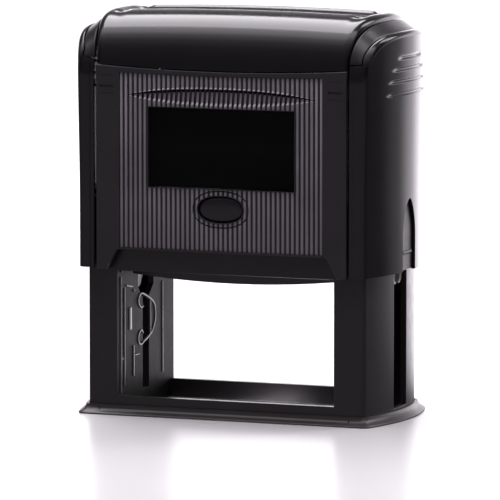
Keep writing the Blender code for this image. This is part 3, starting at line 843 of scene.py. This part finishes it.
# rear panel, ribbed the same way without the label
rp = prism("rear_panel_plate", panel_outline(), -F - 1.9, -F, "Y")
bevel(rp, 0.42, 3, 50)
cut(rp, prism("c", field, -FB, -F + 1, "Y"))
for sx in (1, -1):
    xs = sorted((sx * 31.9, sx * 36.0))
    cut(rp, box("c", *xs, -F - 0.42, -F + 1, 92.1, 92.75))
tidy(rp, 0.3)
bevel(rp, 0.12, 2, 42)
weighted(rp)
place(rp, "cover", panel_mat, ("rear_panel",))
rr = rib_bars("rear_ribs", 47.4, RT, F + 1.5)
bm = bmesh.new()
bm.from_mesh(rr.data)
bmesh.ops.scale(bm, vec=(1, -1, 1), verts=bm.verts)
bmesh.ops.reverse_faces(bm, faces=bm.faces)
bm.to_mesh(rr.data)
bm.free()
rr.data.shade_smooth()
rr.data.set_sharp_from_angle(angle=math.radians(50))
place(rr, "cover", rib_tone_and_highlight_mat)

# label and its window
lc = box("label_sheet", LABEL_CX - LABEL_HALF_W, LABEL_CX + LABEL_HALF_W, -23.4, -23.22, LABEL_Z0, LABEL_Z1)
bevel(lc, 0.03, 1)
place(lc, "cover", card, ("label_card",))
lw = box("label_glass", LABEL_CX - LABEL_HALF_W, LABEL_CX + LABEL_HALF_W, -24.35, -23.52, LABEL_Z0, LABEL_Z1)
bevel(lw, 0.12, 2)
place(lw, "cover", clear, ("label_window",))

# ring round the lock button, with the ribs running over it
bz = prism("button_ring", oval(0, BTN_Z, 8.05, 4.95), FB, -22.85, "Y")
rb = rib_bars("c", 47.4, RT, FB + 0.4)
common(rb, prism("c", oval(0, BTN_Z, 7.98, 4.88), F - 1, F + 3, "Y"))
cut(bz, prism("c", oval(0, BTN_Z, 6.75, 3.7), -26, -20, "Y"))
cut(rb, prism("c", oval(0, BTN_Z, 6.95, 3.9), -26, -20, "Y"))
lip = prism("c", oval(0, BTN_Z, 7.0, 3.95), F + 0.12, FB + 0.2, "Y")
cut(lip, prism("c", oval(0, BTN_Z, 6.76, 3.71), -26, -20, "Y"))
join(bz, lip)
tidy(bz)
bevel(bz, 0.08, 2)
tidy(rb, 0.3)
rb.name = "button_ring_ribs"
rb.data.shade_smooth()
rb.data.set_sharp_from_angle(angle=math.radians(50))
place(bz, "cover", panel_mat, ("button_bezel",))
place(rb, "cover", rib_tone_and_highlight_mat)

# lock button: domed oval head on a flange
secs = [(7.7, 4.6, -21.9), (7.7, 4.6, -22.5), (6.45, 3.4, -22.5), (6.45, 3.4, -23.55), (6.38, 3.33, -23.75), (6.15, 3.12, -23.92),
        (5.6, 2.75, -24.03), (4.6, 2.2, -24.11), (3.2, 1.5, -24.16), (1.6, 0.75, -24.19), (0.5, 0.25, -24.2)]
bt = loft("oval_button", [[(x, y, z) for x, z in oval(0, BTN_Z, a, c)] for a, c, y in secs])
bt.data.shade_smooth()
bt.data.set_sharp_from_angle(angle=math.radians(50))
place(bt, "button", button_mat, ("lock_button",))

# ---- return spring ------------------------------------------------------------------------------
def helix(name, r, wire, z0, z1, turns, per_turn=28, sides=10):
    n = int(per_turn * turns)
    rings_ = []
    for i in range(n + 1):
        u = i / n
        e = 0.08
        if u < e:
            h = 0.035 * (u / e)
        elif u > 1 - e:
            h = 1 - 0.035 * ((1 - u) / e)
        else:
            h = 0.035 + (u - e) / (1 - 2 * e) * 0.93
        a = 2 * math.pi * turns * u
        cz = z0 + wire + (z1 - z0 - 2 * wire) * h
        ring = []
        for k in range(sides):
            q = 2 * math.pi * k / sides
            rr_ = r + wire * math.cos(q)
            ring.append((rr_ * math.cos(a), rr_ * math.sin(a), cz + wire * math.sin(q)))
        rings_.append(ring)
    return loft(name, rings_)


sp = helix("coil_spring", 7.2, 0.45, 61.9, 106.1, 7.5)
sp.data.shade_smooth()
sp.data.set_sharp_from_angle(angle=math.radians(60))
place(sp, "frame", steel, ("return_spring",))
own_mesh(sp)

# ---- carrier: the bar over the spring and the lighter axle blocks ---------------------------------------
bridge_xz = [(43.0, 45.0), (43.0, 103.4), (14.0, 109.8), (-14.0, 109.8), (-43.0, 103.4), (-43.0, 45.0),
             (-40.1, 45.0), (-40.1, 100.7), (-14.0, 107.2), (14.0, 107.2), (40.1, 100.7), (40.1, 45.0)]
cb = prism("carrier_bar", bridge_xz, -3.7, 3.7, "Y")
join(cb, prism("c", circle(0, 0, 9.0, 48), 107.3, 109.7, "Z"))
tidy(cb)
bevel(cb, 0.3, 2)
weighted(cb)
place(cb, "cover", frame_mat, ("carrier_bridge",))
blk = prism("right_axle_block", [(-3.8, 39.0), (-3.8, 46.0), (3.8, 46.0), (3.8, 39.0), (2.4, 37.6), (-2.4, 37.6)], 34.4, 43.2, "X")
join(blk, prism("c", [(-3.4, 37.0), (-3.4, 41.0), (3.4, 41.0), (3.4, 37.0), (1.3, 33.8), (0.6, 33.5), (-0.6, 33.5), (-1.3, 33.8)], 34.4, 36.8, "X"))
cut(blk, prism("c", circle(0, AXLE_Z, 2.1, 32), 30.0, 50.0, "X"))
tidy(blk)
bevel(blk, 0.28, 2)
weighted(blk)
blk2 = mirrored(blk, "left_axle_block")
for o in (blk, blk2):
    place(o, "cover", lug_mat)

# ---- carried-over pieces ----------------------------------------------------------------------------
keep = {"ink_cartridge": (acetal, 0.25), "ink_pad": (felt, 0.3), "spring_guide": (frame_mat, 0.0), "spring_seat": (acetal, 0.0),
        "platen_carrier": (frame_mat, 0.25), "die_foam": (foam, 0.1), "text_die": (rubber, 0.06),
        "right_axle_pin": (acetal, 0.0), "left_axle_pin": (acetal, 0.0), "right_cam_follower": (acetal, 0.0),
        "left_cam_follower": (acetal, 0.0)}
for name, (mat, w) in keep.items():
    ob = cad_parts[name] if not isinstance(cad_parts[name], dict) else bpy.data.objects[name]
    ob.data.materials.clear()
    ob.data.materials.append(mat)
    if w:
        m = ob.modifiers.new("bevel", "BEVEL")
        m.width, m.segments, m.limit_method, m.angle_limit = w * MM, 2, "ANGLE", math.radians(40)

# ---- camera -------------------------------------------------------------------------------------------
AZ, EL, DIST, FOCAL_PX = math.radians(21.364), math.radians(5.979), 1.68473, 6013.46
back = Vector((math.sin(AZ) * math.cos(EL), -math.cos(AZ) * math.cos(EL), math.sin(EL)))
right = Vector((math.cos(AZ), math.sin(AZ), 0))
up = back.cross(right)
target = Vector((0, 0, 0.0559))
eye = target + back * DIST
aim = target + right * ((250 - 252.29) / FOCAL_PX * DIST) - up * ((250 - 212.53) / FOCAL_PX * DIST)
cam = bpy.data.cameras.new("camera")
cam.sensor_width = 36.0
cam.lens = FOCAL_PX / 500.0 * 36.0
cam.clip_start, cam.clip_end = 0.1, 20.0
co_ = bpy.data.objects.new("camera", cam)
scene.collection.objects.link(co_)
co_.location = eye
co_.rotation_mode = "QUATERNION"
co_.rotation_quaternion = (aim - eye).to_track_quat("-Z", "Y")
scene.camera = co_

# ---- light, floor and surroundings ----------------------------------------------------------------------
scene.view_settings.view_transform = "Standard"
scene.view_settings.look = "None"


def area(name, loc, towards, sx_, sy_, radiance, color=(1, 1, 1), spread=180.0):
    l = bpy.data.lights.new(name, "AREA")
    l.shape, l.size, l.size_y = "RECTANGLE", sx_, sy_
    l.energy = radiance * math.pi * sx_ * sy_
    l.color = color
    l.spread = math.radians(spread)
    o = bpy.data.objects.new(name, l)
    scene.collection.objects.link(o)
    o.location = loc
    o.rotation_mode = "QUATERNION"
    o.rotation_quaternion = (Vector(towards) - Vector(loc)).to_track_quat("-Z", "Y")
    return o


# overhead softbox, a little behind the object
ov = bpy.data.lights.new("overhead_softbox", "AREA")
ov.shape, ov.size, ov.size_y = "RECTANGLE", 0.54, 0.92
ov.energy = 7.0 * math.pi * 0.54 * 0.92
ov.color = (1.0, 0.965, 1.01)
ovo = bpy.data.objects.new("overhead_softbox", ov)
scene.collection.objects.link(ovo)
ovo.location = (-0.36, 0.02 + 0.46, 1.0)
kick = bpy.data.lights.new("right_rear_softbox", "AREA")
kick.shape, kick.size, kick.size_y = "RECTANGLE", 0.34, 0.72
kick.energy = 5.5 * math.pi * 0.34 * 0.72
kick.color = (1.0, 0.97, 1.01)
kicko = bpy.data.objects.new("right_rear_softbox", kick)
bpy.context.scene.collection.objects.link(kicko)
kicko.location = (0.60, 0.62, 0.86)
kicko.rotation_euler = (Vector((0.04, 0.0, 0.1)) - kicko.location).to_track_quat("-Z", "Y").to_euler()

# pale floor: plain white to the camera, dimmer in front than behind in the gloss
bm = bmesh.new()
vs = [bm.verts.new(p) for p in ((-4, -4, 0), (4, -4, 0), (4, 4, 0), (-4, 4, 0))]
bm.faces.new(vs)
floor = obj_from_bm("floor", bm, smooth=False)
fm, nt, b = new_mat("floor_paper")
out = nt.nodes["Material Output"]
f, co = noise(nt, 6.0, 2.0)
nt.links.new(ramp(nt, f, (0.80, 0.80, 0.80), (0.82, 0.82, 0.82)), b.inputs["Base Color"])
b.inputs["Roughness"].default_value = 0.30
em = nt.nodes.new("ShaderNodeEmission")
# the floor's glow as the gloss sees it: bright straight behind, dim at the sides and in front
norm = nt.nodes.new("ShaderNodeVectorMath")
norm.operation = "NORMALIZE"
nt.links.new(co, norm.inputs[0])
sep = nt.nodes.new("ShaderNodeSeparateXYZ")
nt.links.new(norm.outputs[0], sep.inputs[0])
half = nt.nodes.new("ShaderNodeMapRange")
half.inputs["From Min"].default_value, half.inputs["From Max"].default_value = -1.0, 1.0
nt.links.new(sep.outputs["Y"], half.inputs["Value"])
fr_ = nt.nodes.new("ShaderNodeValToRGB")
fr_.color_ramp.interpolation = "EASE"
lv = [(-1.0, 0.30), (-0.6, 0.28), (-0.1, 0.10), (0.55, 0.10), (0.78, 0.45), (0.92, 1.7), (0.99, 3.2)]
els = fr_.color_ramp.elements
while len(els) < len(lv):
    els.new(0.5)
for e, (t, v) in zip(els, lv):
    e.position = 0.5 + 0.5 * t
    e.color = (v / 4, v * 0.94 / 4, v * 1.01 / 4, 1)
nt.links.new(half.outputs["Result"], fr_.inputs["Fac"])
nt.links.new(fr_.outputs["Color"], em.inputs["Color"])
em.inputs["Strength"].default_value = 4.0
lp = nt.nodes.new("ShaderNodeLightPath")
mix = nt.nodes.new("ShaderNodeMixShader")
nt.links.new(lp.outputs["Is Camera Ray"], mix.inputs[0])
nt.links.new(em.outputs[0], mix.inputs[1])
nt.links.new(b.outputs[0], mix.inputs[2])
nt.links.new(mix.outputs[0], out.inputs["Surface"])
floor.data.materials.append(fm)

world = bpy.data.worlds.new("studio")
scene.world = world
world.use_nodes = True
nt = world.node_tree
bg = nt.nodes["Background"]
tc = nt.nodes.new("ShaderNodeTexCoord")
sep = nt.nodes.new("ShaderNodeSeparateXYZ")
nt.links.new(tc.outputs["Generated"], sep.inputs[0])


def math_node(op, a, b_=None, c=None):
    n = nt.nodes.new("ShaderNodeMath")
    n.operation = op
    for i, v in enumerate((a, b_, c)):
        if v is None:
            continue
        if isinstance(v, (int, float)):
            n.inputs[i].default_value = v
        else:
            nt.links.new(v, n.inputs[i])
    return n.outputs[0]


# tilt towards the back, over the top: -1 in front, 0 overhead, 1 behind
X_, Y_, Z_ = sep.outputs["X"], sep.outputs["Y"], sep.outputs["Z"]
yz = math_node("SQRT", math_node("ADD", math_node("MULTIPLY", Y_, Y_), math_node("ADD", math_node("MULTIPLY", Z_, Z_), 1e-6)))
tilt = math_node("DIVIDE", Y_, yz)
fac = math_node("MULTIPLY_ADD", tilt, 0.5, 0.5)
cr = nt.nodes.new("ShaderNodeValToRGB")
cr.color_ramp.interpolation = "EASE"
stops = [(-1.0, 0.10), (-0.85, 0.16), (-0.65, 0.42), (-0.45, 1.1), (-0.19, 3.0), (0.03, 3.6), (0.12, 0.35), (0.80, 0.14), (0.93, 0.35), (0.985, 2.6)]
SC = 4.0
el = cr.color_ramp.elements
while len(el) < len(stops):
    el.new(0.5)
for e, (t, v) in zip(el, stops):
    e.position = 0.5 + 0.5 * t
    e.color = (v / SC, v / SC, v / SC, 1)
nt.links.new(fac, cr.inputs["Fac"])
# fades towards the left and right
side = nt.nodes.new("ShaderNodeMapRange")
side.interpolation_type = "SMOOTHSTEP"
side.inputs["From Min"].default_value, side.inputs["From Max"].default_value = 0.45, 0.95
side.inputs["To Min"].default_value, side.inputs["To Max"].default_value = 1.0, 0.15
nt.links.new(math_node("ABSOLUTE", X_), side.inputs["Value"])
amb = math_node("MULTIPLY", math_node("MULTIPLY", cr.outputs["Color"], side.outputs["Result"]), SC)
lp = nt.nodes.new("ShaderNodeLightPath")
bg.inputs["Color"].default_value = (1.0, 0.95, 1.01, 1)
nt.links.new(amb, bg.inputs["Strength"])
plain = nt.nodes.new("ShaderNodeBackground")
plain.inputs["Color"].default_value = (1, 1, 1, 1)
mx = nt.nodes.new("ShaderNodeMixShader")
nt.links.new(lp.outputs["Is Camera Ray"], mx.inputs[0])
nt.links.new(bg.outputs[0], mx.inputs[1])
nt.links.new(plain.outputs[0], mx.inputs[2])
nt.links.new(mx.outputs[0], nt.nodes["World Output"].inputs["Surface"])
